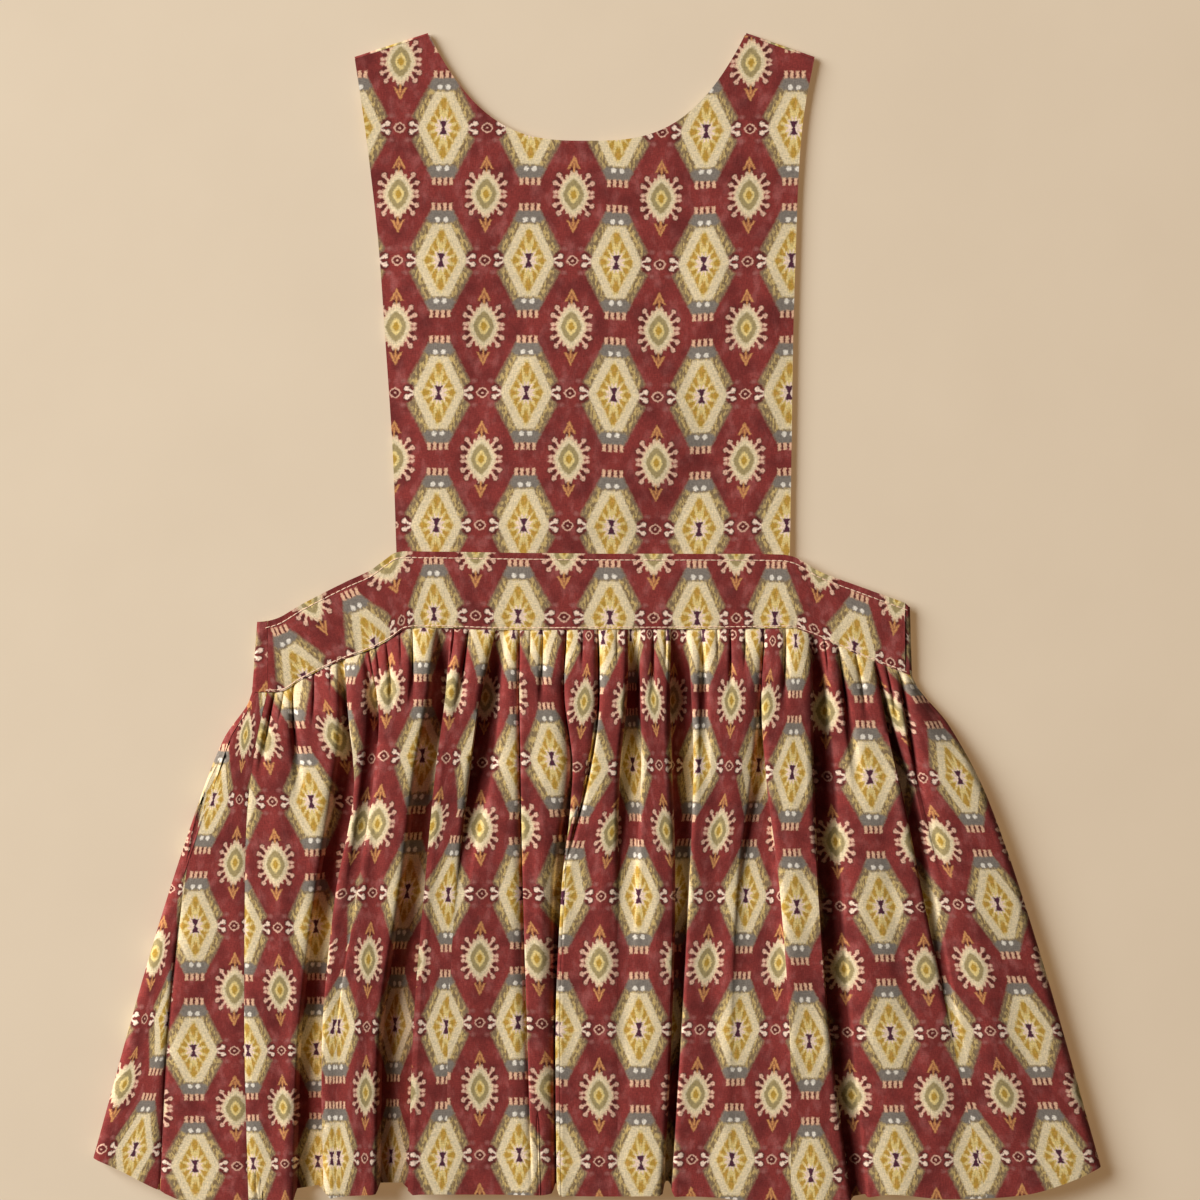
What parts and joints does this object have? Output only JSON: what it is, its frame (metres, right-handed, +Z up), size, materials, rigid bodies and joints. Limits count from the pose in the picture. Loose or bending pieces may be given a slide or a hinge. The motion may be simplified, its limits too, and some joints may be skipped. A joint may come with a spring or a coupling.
{
  "type": "pinafore dress laid flat",
  "caption": "Child's pinafore dress laid flat: scooped bib, straps crossed behind, shaped waistband and full gathered skirt in patterned cotton.",
  "frame": {"origin": "under the middle of the garment's outline, on the surface it lies on", "axes": "+Y from the hem to the shoulders, +X to the right as the garment is seen from above, +Z up from the surface through its back and front"},
  "size_m": [0.4824, 0.5634, 0.0141],
  "materials": {
    "bib_cotton": "matt woven cotton with a printed pattern",
    "strap_cotton": "matt woven cotton with a printed pattern",
    "band_cotton": "matt woven cotton, edge-stitched in cream",
    "skirt_cotton": "matt woven cotton with a printed pattern"
  },
  "bodies": {
    "root": {"bib_front": "bib_cotton", "strap_left": "strap_cotton", "strap_right": "strap_cotton", "waistband_front": "band_cotton", "waistband_back": "band_cotton", "skirt_front": "skirt_cotton", "skirt_back": "skirt_cotton"}
  },
  "joints": []
}
